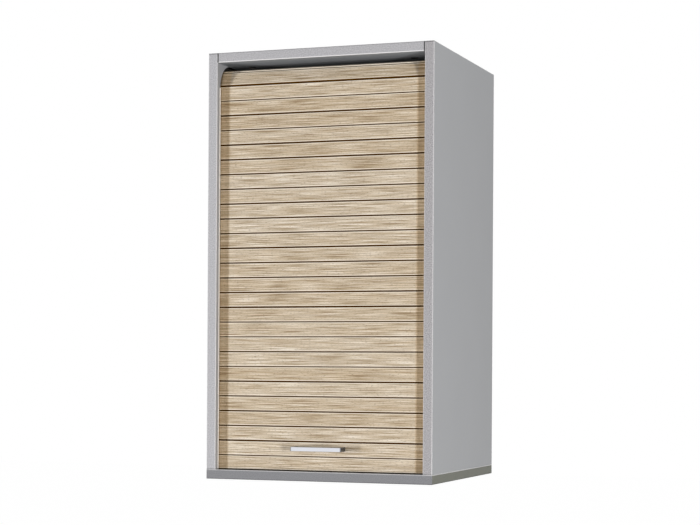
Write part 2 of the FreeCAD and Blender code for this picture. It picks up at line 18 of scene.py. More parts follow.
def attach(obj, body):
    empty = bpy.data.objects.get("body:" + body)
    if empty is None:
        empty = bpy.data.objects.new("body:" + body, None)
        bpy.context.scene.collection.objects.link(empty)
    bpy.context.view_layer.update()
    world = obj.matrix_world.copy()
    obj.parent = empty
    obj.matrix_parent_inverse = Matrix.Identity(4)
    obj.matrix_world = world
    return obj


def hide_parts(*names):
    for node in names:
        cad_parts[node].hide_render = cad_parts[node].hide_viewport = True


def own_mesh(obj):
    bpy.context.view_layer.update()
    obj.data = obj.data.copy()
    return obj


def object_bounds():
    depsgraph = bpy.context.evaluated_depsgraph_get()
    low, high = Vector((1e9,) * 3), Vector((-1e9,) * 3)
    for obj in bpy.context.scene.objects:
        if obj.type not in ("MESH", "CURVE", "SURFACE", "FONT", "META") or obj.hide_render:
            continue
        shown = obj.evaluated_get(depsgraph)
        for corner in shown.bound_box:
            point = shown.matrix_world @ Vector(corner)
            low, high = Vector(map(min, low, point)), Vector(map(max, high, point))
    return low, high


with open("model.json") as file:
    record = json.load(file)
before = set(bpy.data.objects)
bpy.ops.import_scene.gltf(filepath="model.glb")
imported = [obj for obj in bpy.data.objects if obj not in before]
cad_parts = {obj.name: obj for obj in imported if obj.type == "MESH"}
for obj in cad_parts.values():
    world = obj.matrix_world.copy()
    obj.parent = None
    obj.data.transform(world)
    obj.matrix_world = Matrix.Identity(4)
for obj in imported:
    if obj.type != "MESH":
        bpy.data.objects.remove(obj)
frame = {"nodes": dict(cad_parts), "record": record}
cad_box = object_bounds()
MM = 0.001
INNER_X, OUTER_X, BOARD, TOP, FRONT_PLANE = 184.0, 200.0, 16.0, 720.0, -176.0


def put(name, data):
    """Adds an object with this data to the scene."""
    thing = bpy.data.objects.new(name, data)
    bpy.context.scene.collection.objects.link(thing)
    return thing


print("CAD box in metres:", [tuple(round(c, 4) for c in corner) for corner in cad_box])

# %% [markdown]
# ## The camera
# The photographer stood to the right of the cabinet, turned towards it, and kept the camera level.
# Upright edges stay upright in such a picture, and the frame is shifted instead of tilted. The
# place, the lens and the shift were solved from the cabinet's corners in the photograph. They are
# set as numbers, so the view is the same in every run.

# %% The camera
CAMERA_PLACE = (1.0700, -2.9564, 0.1901)
CAMERA_TURN = 20.006
CAMERA_ROLL = 0.329
CAMERA_LENS, CAMERA_SENSOR = 92.473, 36
CAMERA_SHIFT = 0.14955

turn = math.radians(CAMERA_TURN)
roll = math.radians(CAMERA_ROLL)
ahead = Vector((-math.sin(turn), math.cos(turn), 0))
to_the_right = Vector((math.cos(turn) * math.cos(roll), math.sin(turn) * math.cos(roll),
                       math.sin(roll)))
upwards = to_the_right.cross(ahead)

camera = put("camera", bpy.data.cameras.new("camera"))
camera.data.lens = CAMERA_LENS
camera.data.sensor_width = CAMERA_SENSOR
camera.data.shift_y = CAMERA_SHIFT
camera.matrix_world = (Matrix.Translation(CAMERA_PLACE)
                       @ Matrix((to_the_right, upwards, -ahead)).transposed().to_4x4())
bpy.context.scene.camera = camera
cabinet_middle = (Vector(cad_box[0]) + Vector(cad_box[1])) / 2
print("camera distance:", round((Vector(CAMERA_PLACE) - cabinet_middle).length, 2), "m")

# %% [markdown]
# ## Colours and nodes
# Colours are written the way a paint chart or a web page gives them, as sRGB hex values. Blender
# mixes light in linear values, so one function turns the first into the second. A second one adds a
# node with its settings and links, and a third says how many cells of a pattern fit in a metre, so
# that every pattern can be written by the size it has on the real thing, in millimetres. A Mix node
# mixes colours with the settings in RGBA, and its sockets 6 and 7 take the two colours. Noise lies
# mostly between 0.3 and 0.7, and a MapRange with SPREAD stretches that to 0 and 1.

# %% Colour, node and pattern helpers
RGBA = {"out": 2, "data_type": "RGBA"}
SPREAD = {1: 0.3, 2: 0.7}


def linear(hex_colour):
    """The linear red, green, blue and alpha of an sRGB colour such as "#c8b8a0"."""
    srgb = np.array([int(hex_colour[n:n + 2], 16) for n in (1, 3, 5)]) / 255
    flat = np.where(srgb <= 0.04045, srgb / 12.92, ((srgb + 0.055) / 1.055) ** 2.4)
    return (*flat.tolist(), 1.0)


def node_adder(tree):
    """A function that adds a node to one tree. Its inputs map a socket's name or number to a value,
    or to an output to link, and it gives back one output of the new node."""
    def add(kind, inputs=None, out=0, **settings):
        node = tree.nodes.new("ShaderNode" + kind)
        for name, value in settings.items():
            setattr(node, name, value)
        for name, value in (inputs or {}).items():
            if isinstance(value, bpy.types.NodeSocket):
                tree.links.new(value, node.inputs[name])
            else:
                node.inputs[name].default_value = value
        return node.outputs[out] if node.outputs else node
    return add


def per_metre(cell_mm):
    """Cells in a metre, from one length of a cell or from its three lengths, in millimetres."""
    return 1 / (np.asarray(cell_mm) * MM)


def new_material(name):
    """An empty node material, and the function that adds nodes to it."""
    material = bpy.data.materials.new(name)
    material.use_nodes = True
    material.node_tree.nodes.clear()
    return material, node_adder(material.node_tree)


def long_noise(add, place, cell_mm, detail):
    """Noise whose cells have three given lengths, in millimetres."""
    stretched = add("Mapping", {"Vector": place, "Scale": per_metre(cell_mm)})
    return add("TexNoise", {"Vector": stretched, "Scale": 1.0, "Detail": detail})


def finish_with(add, colour, roughness, height, relief_mm, **sockets):
    """Ends a material: a relief of so many millimetres, its shader and its output."""
    bump = add("Bump", {"Strength": 1.0, "Distance": relief_mm * MM, "Height": height})
    shader = add("BsdfPrincipled", {"Base Color": colour, "Roughness": roughness, "Normal": bump,
                                    **{name.replace("_", " "): v for name, v in sockets.items()}})
    add("OutputMaterial", {"Surface": shader})


print("mid grey #808080, linear:", round(linear("#808080")[0], 3))

# %% [markdown]
# ## Silver-grey boards
# The carcass is chipboard, pressed from wood chips and faced with paper soaked in melamine resin.
# The facing is printed silver grey and pressed against a fine-grained steel plate, so it is nearly
# even in colour, with a grain under a millimetre and only a faint gloss. Where a board was sawn or
# drilled and got no edging, its brown chips show. The shutter's track is routed into the chips too.
# The side boards' chips are painted dark grey except near the front and the back, a painted shade
# for the routed track. The material looks at where a point lies in the board's thickness: within a
# tenth of a millimetre of a face is paper, the rest is chips. The inside faces of the side and top
# boards get a darker paper, which is painted shade inside the carcass, and the lower board's upper
# face is painted dark in a band where the shutter closes on it, a painted shadow at the shutter's
# foot.
# The real paper grain is finer than a picture element, so it is drawn as coarse as it shows.

# %% Melamine and chipboard
PAPER_GRAIN, PAPER_CLOUD, CHIP, DUST = 0.9, 110, 2.2, 1.1
GRAIN_SHARE = 0.75
FACE_SKIN = 0.1 * MM
SHELF_FACES = (354.5, 370.5)
TRACK_REACH = 170 * MM
SEAT_MIDDLE, SEAT_HALF = -163.5 * MM, 9.5 * MM


def board_finish(name, axis, faces, light, dark, inside=None, track=False, seat=False):
    """Melamine on the two faces of a board that lie across an axis, and chips between them. The
    face towards the middle may get a darker paper as painted shade, the chips may be painted dark
    as shade in the track, and the upper face may be painted dark as the shadow where the shutter
    closes on it."""
    material, add = new_material(name)
    where = add("TexCoord", out="Object")
    along = add("SeparateXYZ", {0: where}, out=axis)
    size = add("Math", {0: along}, operation="ABSOLUTE")
    off = add("Math", {0: size, 1: (faces[0] + faces[1]) / 2 * MM}, operation="SUBTRACT")
    core = add("Math", {0: add("Math", {0: off}, operation="ABSOLUTE"),
                        1: (faces[1] - faces[0]) / 2 * MM - FACE_SKIN}, operation="LESS_THAN")
    grain = add("TexNoise", {"Vector": where, "Scale": per_metre(PAPER_GRAIN), "Detail": 4.0})
    cloud = add("TexNoise", {"Vector": where, "Scale": per_metre(PAPER_CLOUD)})
    both = add("Math", {0: add("MapRange", {0: grain, **SPREAD, 4: GRAIN_SHARE}),
                        1: add("MapRange", {0: cloud, 1: 0.35, 2: 0.65, 4: 1 - GRAIN_SHARE})},
               operation="ADD")
    paper = add("Mix", {0: both, 6: linear(dark), 7: linear(light)}, **RGBA)
    chips = add("TexVoronoi", {"Vector": where, "Scale": per_metre(CHIP)}, out="Color")
    dust = add("TexNoise", {"Vector": where, "Scale": per_metre(DUST)})
    wood = add("Mix", {0: add("MapRange", {0: chips, 1: 0.1, 2: 0.9}), 6: linear("#8f7354"),
                       7: linear("#c9ab81")}, **RGBA)
    wood = add("Mix", {0: add("MapRange", {0: dust, 1: 0.35, 2: 0.75}), 6: wood,
                       7: linear("#a98d68")}, **RGBA)
    # painted shade: the face towards the middle gets a darker paper, for the shade inside the
    # carcass
    if inside:
        inner = add("Math", {0: off, 1: 0.0}, operation="LESS_THAN")
        paper = add("Mix", {0: inner, 6: paper, 7: linear(inside)}, **RGBA)
    # painted shadow: a dark band on the upper face where the shutter closes on the board
    if seat:
        upper = add("Math", {0: off, 1: 0.0}, operation="GREATER_THAN")
        line = add("Math", {0: add("SeparateXYZ", {0: where}, out="Y"), 1: SEAT_MIDDLE,
                            2: SEAT_HALF}, operation="COMPARE")
        painted_seat_shadow = add("Math", {0: upper, 1: line}, operation="MULTIPLY")
        paper = add("Mix", {0: painted_seat_shadow, 6: paper, 7: linear("#211e1b")}, **RGBA)
    # painted shade: the chips are painted dark grey, except within 6 mm of the front and the back,
    # for the shade in the routed track
    if track:
        depth = add("Math", {0: add("SeparateXYZ", {0: where}, out="Y")}, operation="ABSOLUTE")
        painted_track_shade = add("Math", {0: depth, 1: TRACK_REACH}, operation="LESS_THAN")
        wood = add("Mix", {0: painted_track_shade, 6: wood, 7: linear("#33302d")}, **RGBA)
    colour = add("Mix", {0: core, 6: paper, 7: wood}, **RGBA)
    roughness = add("MapRange", {0: core, 3: 0.5, 4: 0.9})
    finish_with(add, colour, roughness, grain, 0.02, IOR=1.5, Specular_IOR_Level=0.12)
    return material


# painted shade: the side boards' paper is set a little darker than the top board's, and the side
# and top boards get a darker inside paper
side_board = board_finish("melamine_side_board", "X", (INNER_X, OUTER_X), "#b6b7b9", "#b1b2b4",
                          "#9e9ea0", track=True)
top_board = board_finish("melamine_top_board", "Z", (TOP - BOARD, TOP), "#bfbfc1", "#b9b9bb",
                         "#999da2")
bottom_board = board_finish("melamine_bottom_board", "Z", (0, BOARD), "#a8a8a9", "#9f9fa0",
                            seat=True)
shelf_board = board_finish("melamine_shelf_board", "Z", SHELF_FACES, "#bababd", "#b4b4b7")
print("board materials:", len(bpy.data.materials), "paper skin:", FACE_SKIN / MM, "mm")

# %% [markdown]
# ## Edging
# A strip of silver-grey ABS plastic, 1 mm thick, is glued over each sawn edge that can be seen, and
# its arrises are scraped round. Plastic shines more evenly than the paper beside it. Scraping
# leaves it a little whiter, and the arrises are painted white further, a painted highlight for the
# light a round arris catches, so they show as fine bright lines. Where the top meets a side, dust
# and painted shade draw a dark line in the joint, and some arrises that face up or down are painted
# dark, as painted shade. Attributes on the strips say where all of these lie. The strips on the
# left side are a lighter grey than those on the right. The lower board has a darker edging, so the
# material changes below that board's upper face. The speck of ABS is drawn at 1.6 mm, which is
# coarser than the real one, because a finer one wouldn't show.

# %% ABS edging
LOWER_EDGING_TOP = 15.9 * MM
EDGING_SPECK = 1.6


def edging_finish():
    """Satin ABS: a speckled grey, whiter on the arrises from scraping and from a painted highlight,
    with painted shade in the joints and on some arrises.
    """
    material, add = new_material("abs_edging")
    where = add("TexCoord", out="Object")
    low = add("Math", {0: add("SeparateXYZ", {0: where}, out="Z"), 1: LOWER_EDGING_TOP},
              operation="LESS_THAN")
    tone, arris, shade = [add("Attribute", out="Fac", attribute_name=label)
                          for label in ("tone", "arris", "shade")]
    speck = add("TexNoise", {"Vector": where, "Scale": per_metre(EDGING_SPECK), "Detail": 3.0})
    share = add("MapRange", {0: speck, 1: 0.33, 2: 0.67})
    right, left, end, front = [
        add("Mix", {0: share, 6: linear(dark), 7: linear(light)}, **RGBA)
        for dark, light in (("#8d8b8d", "#c2bfc1"), ("#a4a3a6", "#cbcacd"),
                            ("#6a6b62", "#7a7b70"), ("#7f7f82", "#919194"))]
    upper, lower = [add("Mix", {0: tone, 6: one, 7: other}, **RGBA)
                    for one, other in ((right, left), (end, front))]
    flat = add("Mix", {0: low, 6: upper, 7: lower}, **RGBA)
    # painted highlight: the arrises are whitened, partly from scraping
    whitened_and_highlight = add("Mix", {0: arris, 6: flat, 7: linear("#f4f3f3")}, **RGBA)
    # painted shade: dark in the joints, with some dust, and on some arrises
    colour = add("Mix", {0: shade, 6: whitened_and_highlight, 7: linear("#1c1b1b")}, **RGBA)
    finish_with(add, colour, add("MapRange", {0: speck, **SPREAD, 3: 0.4, 4: 0.5}), speck,
                0.015, IOR=1.54, Specular_IOR_Level=0.1)
    return material


abs_edging = edging_finish()
print("edging changes shade at", round(LOWER_EDGING_TOP / MM, 1), "mm")

# %% [markdown]
# ## Oak decor
# The slats are plastic extrusions wrapped in a printed foil that imitates light oak. Its grain runs
# along the slat: tone bands several millimetres high, thin pale and dark streaks, and dark pores.
# Each slat is cut from another place of the foil, so neighbours differ a little in tone. The
# pattern is drawn in the slat's UV map, which holds metres along the slat and round its section, so
# the grain follows the slat round the bend. The foil is painted whiter on the arrises, partly for
# the whitening where it is pulled round them and partly as a painted highlight. On the straight
# slats it ends just behind the face, so the bare plastic shows in the gaps and behind; its dark
# brown also paints the shade in the gaps. The slats' ends, which run in the rails, are painted dark
# as the shade beside the rails, and from 165 mm outwards the foil is tinted a little yellow, a
# painted warmth in the shadows that the side panels cast. Real pores are a third of a millimetre
# high and real streaks not much more: both are drawn about three times coarser, as coarse as they
# need to show.

# %% Oak decor foil
BAND, STREAK = (260, 5.5, 1000), (190, 1.15, 1000)
FINE_STREAK, PORE = (65, 0.75, 1000), (5, 0.9, 1000)
SWAY, SWAY_MM = (170, 16, 1000), 0.55
# from 165 mm outwards, full from 169 mm, the foil is tinted yellow: painted warmth in the side
# panels' shadows
WARM_SHADOW_FROM, WARM_SHADOW_FULL = 165 * MM, 169 * MM


def oak_finish():
    """Straight-grained oak print: bands, streaks and pores that run along the slat."""
    material, add = new_material("oak_decor_foil")
    uv = add("TexCoord", out="UV")
    sway = long_noise(add, uv, SWAY, 1.0)
    lift = add("MapRange", {0: sway, 1: 0.2, 2: 0.8, 3: -SWAY_MM * MM, 4: SWAY_MM * MM})
    grain_place = add("VectorMath", {0: uv, 1: add("CombineXYZ", {1: lift})}, operation="ADD")
    band, streak, fine, pore = [
        long_noise(add, grain_place, cell, detail)
        for cell, detail in ((BAND, 2.0), (STREAK, 3.0), (FINE_STREAK, 3.0), (PORE, 2.0))]
    colour = add("Mix", {0: add("MapRange", {0: band, 1: 0.32, 2: 0.68}), 6: linear("#d1bfa5"),
                         7: linear("#e1d3be")}, **RGBA)
    for layer, start, stop, most, hue in ((streak, 0.49, 0.66, 0.7, "#a9957a"),
                                          (streak, 0.43, 0.31, 0.8, "#efe5d4"),
                                          (fine, 0.5, 0.61, 1.0, "#958165"),
                                          (fine, 0.46, 0.36, 0.8, "#fbf3e7"),
                                          (pore, 0.56, 0.72, 0.7, "#84705a")):
        share = add("MapRange", {0: layer, 1: start, 2: stop, 4: most})
        colour = add("Mix", {0: share, 6: colour, 7: linear(hue)}, **RGBA)
    tone, arris, shade, foil = [add("Attribute", out="Fac", attribute_name=label)
                                for label in ("tone", "arris", "shade", "foil")]
    cut = add("Mix", {0: tone, 6: linear("#f1ece4"), 7: linear("#ffffff")}, **RGBA)
    colour = add("Mix", {0: 1.0, 6: colour, 7: cut}, **RGBA, blend_type="MULTIPLY")
    # painted highlight: the arrises are whitened, partly for the foil stretched round them
    stretched_and_highlight = add("MapRange", {0: arris, 4: 0.8})
    colour = add("Mix", {0: stretched_and_highlight, 6: colour, 7: linear("#f5ecdb")}, **RGBA)
    # painted warm shadow: the foil beside the ends is tinted yellow where the side panels' shadows
    # fall
    across = add("SeparateXYZ", {0: add("TexCoord", out="Object")}, out="X")
    painted_warm_shadow = add("MapRange", {0: add("Math", {0: across}, operation="ABSOLUTE"), 1: WARM_SHADOW_FROM,
                             2: WARM_SHADOW_FULL})
    colour = add("Mix", {0: painted_warm_shadow, 6: colour, 7: linear("#fff4e3")}, **RGBA, blend_type="MULTIPLY")
    # painted shade: the slats' ends beside the rails are darkened
    painted_end_shade = add("MapRange", {0: shade, 4: 0.6})
    colour = add("Mix", {0: painted_end_shade, 6: colour, 7: linear("#2b1f12")}, **RGBA)
    # the bare plastic where the foil ends; its dark brown also paints the shade in the gaps
    bare_plastic_and_gap_shade = add("Mix", {0: add("MapRange", {0: sway, **SPREAD}), 6: linear("#603f0c"),
                        7: linear("#6b4a14")}, **RGBA)
    colour = add("Mix", {0: foil, 6: bare_plastic_and_gap_shade, 7: colour}, **RGBA)
    finish_with(add, colour, add("MapRange", {0: streak, **SPREAD, 3: 0.52, 4: 0.64}),
                streak, 0.04, IOR=1.5, Specular_IOR_Level=0.35)
    return material


oak_foil = oak_finish()
print("oak bands are", BAND[1], "mm high, streaks", STREAK[1], "mm, pores", PORE[1], "mm")

# %% [markdown]
# ## Plastics and rubber
# The hinge strips between the slats are soft brown PVC, which looks nearly black in the gaps. The
# guide rails are extruded in hard ivory plastic, with faint die lines along their length. The stops
# and the seal under the lowest slat are rubber, the dullest surface on the cabinet. One function
# serves all of them and the metals too, because they differ only in their two close shades, in
# their gloss and in the size of the lines or cells that a die, a brush or crystals leave. The die
# lines are drawn about a millimetre wide, coarser than real ones, or they wouldn't show.

# %% Extruded plastics
def two_shade_finish(name, high, low, cell_mm, rough, relief_mm, spread=SPREAD, detail=3.0,
                     edges=None, **sockets):
    """Two close shades, one where long noise is high and one where it is low. The roughness goes
    from rough[0] to rough[1] with it. Faces that don't look straight to the front or the rear may
    be painted in the edges colour, as painted dark reflection and shade."""
    material, add = new_material(name)
    cells = long_noise(add, add("TexCoord", out="Object"), cell_mm, detail)
    share = add("MapRange", {0: cells, **spread})
    colour = add("Mix", {0: share, 6: linear(low), 7: linear(high)}, **RGBA)
    # painted dark reflection and shade: faces that don't look to the front or the rear take the
    # edges colour
    if edges:
        normal = add("SeparateXYZ", {0: add("NewGeometry", out="Normal")}, out="Y")
        facing = add("MapRange", {0: add("Math", {0: normal}, operation="ABSOLUTE"), 1: 0.7,
                                  2: 0.95})
        colour = add("Mix", {0: facing, 6: linear(edges), 7: colour}, **RGBA)
    roughness = add("MapRange", {0: share, 3: rough[0], 4: rough[1]})
    finish_with(add, colour, roughness, cells, relief_mm, **sockets)
    return material


brown_pvc, ivory_plastic, black_rubber, seal_rubber = [
    two_shade_finish(*looks, IOR=ior, Specular_IOR_Level=shine) for *looks, shine, ior in (
        ("brown_soft_pvc", "#4a2c06", "#3d2404", (80, 1.1, 1.1), (0.6, 0.7), 0.02, 0.05, 1.53),
        ("ivory_extrusion", "#fffaf3", "#faf2e8", (0.9, 0.9, 200), (0.3, 0.4), 0.01, 0.5, 1.54),
        ("black_stop_rubber", "#1d1c1b", "#141312", (1.4, 1.4, 1.4), (0.75, 0.85), 0.05, 0.3, 1.52),
        ("brown_seal_rubber", "#2a211a", "#1f1813", (110, 1.2, 1.2), (0.65, 0.75), 0.03, 0.3, 1.52),
    )]
print("plastics:", [m.name for m in (brown_pvc, ivory_plastic, black_rubber, seal_rubber)])

# %% [markdown]
# ## Metals and beech
# The handle is an aluminium bar, brushed along its length and anodised, which leaves a bright satin
# with very fine lines, drawn at 0.4 mm, several times their real width. Its faces that don't look
# straight to the front or the back, at its edges and the sides of its feet, are painted dark grey,
# a painted dark reflection and shade. The screws, pins and hanging plates are steel with a thin
# zinc plating that has a faint crystal bloom. The cams are die-cast zinc, dark and dull. The dowels
# are beech, recognised by its short dark flecks along the grain. Metals keep the default IOR.

# %% Metals and beech
METAL_RELIEF, METAL_SPREAD, BEECH_SPREAD = 0.008, {1: 0.32, 2: 0.68}, {1: 0.5, 2: 0.7}

# the handle's edges colour paints a dark reflection and shade on its edges and feet
satin_aluminium, zinc_plate, cast_zinc = [
    two_shade_finish(*looks, METAL_RELIEF, METAL_SPREAD, edges=edges, Metallic=1.0)
    for *looks, edges in (
        ("anodised_aluminium", "#e6e7ed", "#d9dbe1", (40, 0.4, 0.4), (0.3, 0.4), "#6c6e73"),
        ("zinc_plated_steel", "#b4b6bb", "#999ca3", (2.4, 2.4, 2.4), (0.28, 0.42), None),
        ("die_cast_zinc", "#5d5e61", "#4b4c4f", (1.1, 1.1, 1.1), (0.45, 0.62), None))]
beech = two_shade_finish("beech_dowel", "#a9835a", "#d3b48c", (3.8, 0.7, 0.7), (0.6, 0.6), 0.05,
                         BEECH_SPREAD, detail=2.0)
print("metals:", [m.name for m in (satin_aluminium, zinc_plate, cast_zinc)])

# %% [markdown]
# ## Thin panels
# The back panel is 3 mm fibreboard, lacquered grey towards the room and left brown towards the
# wall. The two inner panels that hide the shutter's runs are 8 mm board in the same grey. The raw
# side of fibreboard shows matted fibres, a sum of long noise in two directions.

# %% Fibreboard
BACK_PANEL_FROM = 164 * MM
FIBRES, LACQUER_SPECK = ((0.7, 2.5, 3.8), (4.2, 2.5, 0.7)), 0.9


def back_board_finish():
    """Grey lacquer on the faces towards the front, brown fibres on those towards the wall."""
    material, add = new_material("lacquered_fibreboard")
    where = add("TexCoord", out="Object")
    normal = add("NewGeometry", out="Normal")
    rearward = add("MapRange", {0: add("SeparateXYZ", {0: normal}, out="Y"), 1: 0.4, 2: 0.6})
    behind = add("Math", {0: add("SeparateXYZ", {0: where}, out="Y"), 1: BACK_PANEL_FROM},
                 operation="GREATER_THAN")
    raw = add("Math", {0: rearward, 1: behind}, operation="MULTIPLY")
    across, upright = [long_noise(add, where, cell, 4.0) for cell in FIBRES]
    mat = add("Math", {0: across, 1: upright}, operation="ADD")
    wood = add("Mix", {0: add("MapRange", {0: mat, 1: 0.8, 2: 1.2}), 6: linear("#7d6347"),
                       7: linear("#a0825f")}, **RGBA)
    speck = add("TexNoise", {"Vector": where, "Scale": per_metre(LACQUER_SPECK)})
    grey = add("Mix", {0: add("MapRange", {0: speck, **SPREAD}), 6: linear("#aeaeb1"),
                       7: linear("#b8b8bb")}, **RGBA)
    colour = add("Mix", {0: raw, 6: grey, 7: wood}, **RGBA)
    finish_with(add, colour, add("MapRange", {0: raw, 3: 0.5, 4: 0.85}), mat, 0.03, IOR=1.5,
                Specular_IOR_Level=0.2)
    return material


thin_board = back_board_finish()
print("materials so far:", len(bpy.data.materials))

# %% [markdown]
# ## Dress the CAD nodes
# The boards, dowels, cam bolts and the seal have the right shape in CAD already, so they keep it
# and only get their material. All other nodes make way for finer skins or copies in later cells.
# The record names a slot for each node, and the boards' sawn edges lie in different directions, so
# a few nodes are named one by one.

# %% Materials on the CAD nodes
SLOT_FINISH = {
    "grey_board": side_board, "grey_edging": abs_edging, "back_board": thin_board,
    "oak_slat": oak_foil, "hinge_strip": brown_pvc, "ivory_rail": ivory_plastic,
    "handle_metal": satin_aluminium, "fitting_steel": zinc_plate, "plate_steel": zinc_plate,
    "cam_zinc": cast_zinc, "dowel_beech": beech, "stop_rubber": black_rubber,
    "seal_rubber": seal_rubber,
}
NODE_FINISH = {"top_panel": top_board, "bottom_panel": bottom_board,
               "adjustable_shelf": shelf_board, "false_back_panel": thin_board,
               "inner_top_panel": thin_board}
node_slot = {row["node"]: row["material_slot"] for row in frame["record"]["subparts"]}
for name, node in frame["nodes"].items():
    for held in node.material_slots:
        held.material = NODE_FINISH.get(name, SLOT_FINISH[node_slot[name]])
print("dressed nodes:", len(frame["nodes"]))

# %% [markdown]
# ## Skins through sections
# Nearly every piece of this cabinet is an extrusion, a bent bar or a turned part, so one function
# makes them all: it lays a skin through a row of sections, each a ring of the same number of
# points, and closes the two ends. The order of its corners decides which way the faces point, so
# the function works out the enclosed volume and turns the faces round if it comes out negative.
# Its UV map holds metres: along the piece first, round the section second.

# %% A skin through sections
def skin(name, sections, body, finish, replaced=(), smooth_to=38, shift=(0.0, 0.0)):
    """A closed skin. Point p of section s is sections[s, p]; each face joins p and p + 1 of
    sections s and s + 1, p + 1 of the last point is the first, and a flat face closes each end."""
    rows, ring = sections.shape[:2]
    s, p = np.meshgrid(np.arange(rows - 1), np.arange(ring), indexing="ij")
    after = (p + 1) % ring
    faces = np.stack([s * ring + p, s * ring + after, (s + 1) * ring + after,
                      (s + 1) * ring + p], axis=-1).reshape(-1, 4)
    along = np.r_[0, np.cumsum(np.linalg.norm(np.diff(sections.mean(1), axis=0), axis=1))]
    widest = np.linalg.norm(np.roll(sections, -1, axis=1) - sections, axis=2).max(0)
    around = np.r_[0, np.cumsum(widest)]
    uv = np.stack([np.stack([along[s + i], around[p + j]], -1)
                   for i, j in ((0, 0), (0, 1), (1, 1), (1, 0))], axis=2).reshape(-1, 4, 2)
    points = sections.reshape(-1, 3)
    corner = points[faces]
    first = np.arange(ring)[::-1]
    last = np.arange(ring) + (rows - 1) * ring
    halves = np.concatenate([corner[:, [0, 1, 2]], corner[:, [0, 2, 3]],
                             *[points[np.stack([np.full(ring - 2, end[0]), end[1:-1], end[2:]], 1)]
                               for end in (first, last)]])
    volume = np.einsum("ij,ij->i", halves[:, 0], np.cross(halves[:, 1], halves[:, 2])).sum() / 6
    if volume < 0:
        faces, uv, first, last = faces[:, ::-1], uv[:, ::-1], first[::-1], last[::-1]
    mesh = bpy.data.meshes.new(name)
    mesh.from_pydata(points.tolist(), [], [*faces.tolist(), first.tolist(), last.tolist()])
    rim = np.stack([np.zeros(ring), around[:-1]], -1)
    flat = np.concatenate([uv.reshape(-1, 2), rim, rim + [along[-1], 0]])
    mesh.uv_layers.new(name="metres").data.foreach_set("uv", (flat + shift).ravel())
    mesh.shade_smooth()
    mesh.set_sharp_from_angle(angle=math.radians(smooth_to))
    mesh.materials.append(finish)
    piece = put(name, mesh)
    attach(piece, body)
    if replaced:
        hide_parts(*replaced)
    return piece


def mark(piece, label, values):
    """Stores one number per point of a skin, in the order section by section."""
    attribute = piece.data.attributes.new(label, "FLOAT", "POINT")
    attribute.data.foreach_set("value", np.asarray(values, np.float32).ravel())


def unit(rows):
    """The same directions, of length one."""
    return rows / np.linalg.norm(rows, axis=1, keepdims=True)


def rounded(corners, radii, steps=4):
    """A closed outline with its corners rounded. Each arc runs from the tangent point on one side
    to the one on the other, as centre + (sin((1 - t) a) u + sin(t a) v) / sin a."""
    here = np.asarray(corners, float)
    reach = np.broadcast_to(np.asarray(radii, float), len(here))[:, None]
    back = unit(np.roll(here, 1, axis=0) - here)
    onward = unit(np.roll(here, -1, axis=0) - here)
    half = np.arccos((back * onward).sum(1, keepdims=True)) / 2
    centre = here + unit(back + onward) * reach / np.sin(half)
    start, end = [here + way * reach / np.tan(half) - centre for way in (back, onward)]
    bend = np.pi - 2 * half
    t = np.linspace(0, 1, steps + 1)[None, :]
    first = (np.sin((1 - t) * bend) / np.sin(bend))[..., None]
    second = (np.sin(t * bend) / np.sin(bend))[..., None]
    return (centre[:, None] + first * start[:, None] + second * end[:, None]).reshape(-1, 2)


def straight_run(outline, axis, ends):
    """Sections of a straight extrusion: the same outline at each place along an axis."""
    sections = np.empty((len(ends), len(outline), 3))
    sections[:, :, [n for n in range(3) if n != axis]] = outline
    sections[:, :, axis] = np.asarray(ends)[:, None]
    return sections


print("points of a square with round corners:", len(rounded([(0, 0), (1, 0), (1, 1), (0, 1)], 0.1)))

# %% [markdown]
# ## The edging strips
# Each strip is 1 mm thick, and its two long arrises at the outside are scraped to a radius. The
# section is a rectangle with two round corners, carried along the board's edge. Two more points lie
# on its flat near the arrises, so the whitening that the strip's attribute stores fades out there.
# The strips on the ends and on the shelf take their run from the box of their CAD node.

# %% Edging strips
EDGING_THICK, EDGING_ROUND, SAWN_CORNER = 1.0, 0.7, 0.02
WHITE_WIDTH, JOINT_WIDTH, JOINT_FADE = 1.6, 1.8, 0.6


def cad_extent(node):
    """The lowest and highest corner of a CAD node, in millimetres."""
    piece = frame["nodes"][node]
    corners = np.array([piece.matrix_world @ v.co for v in piece.data.vertices]) / MM
    return corners.min(0), corners.max(0)


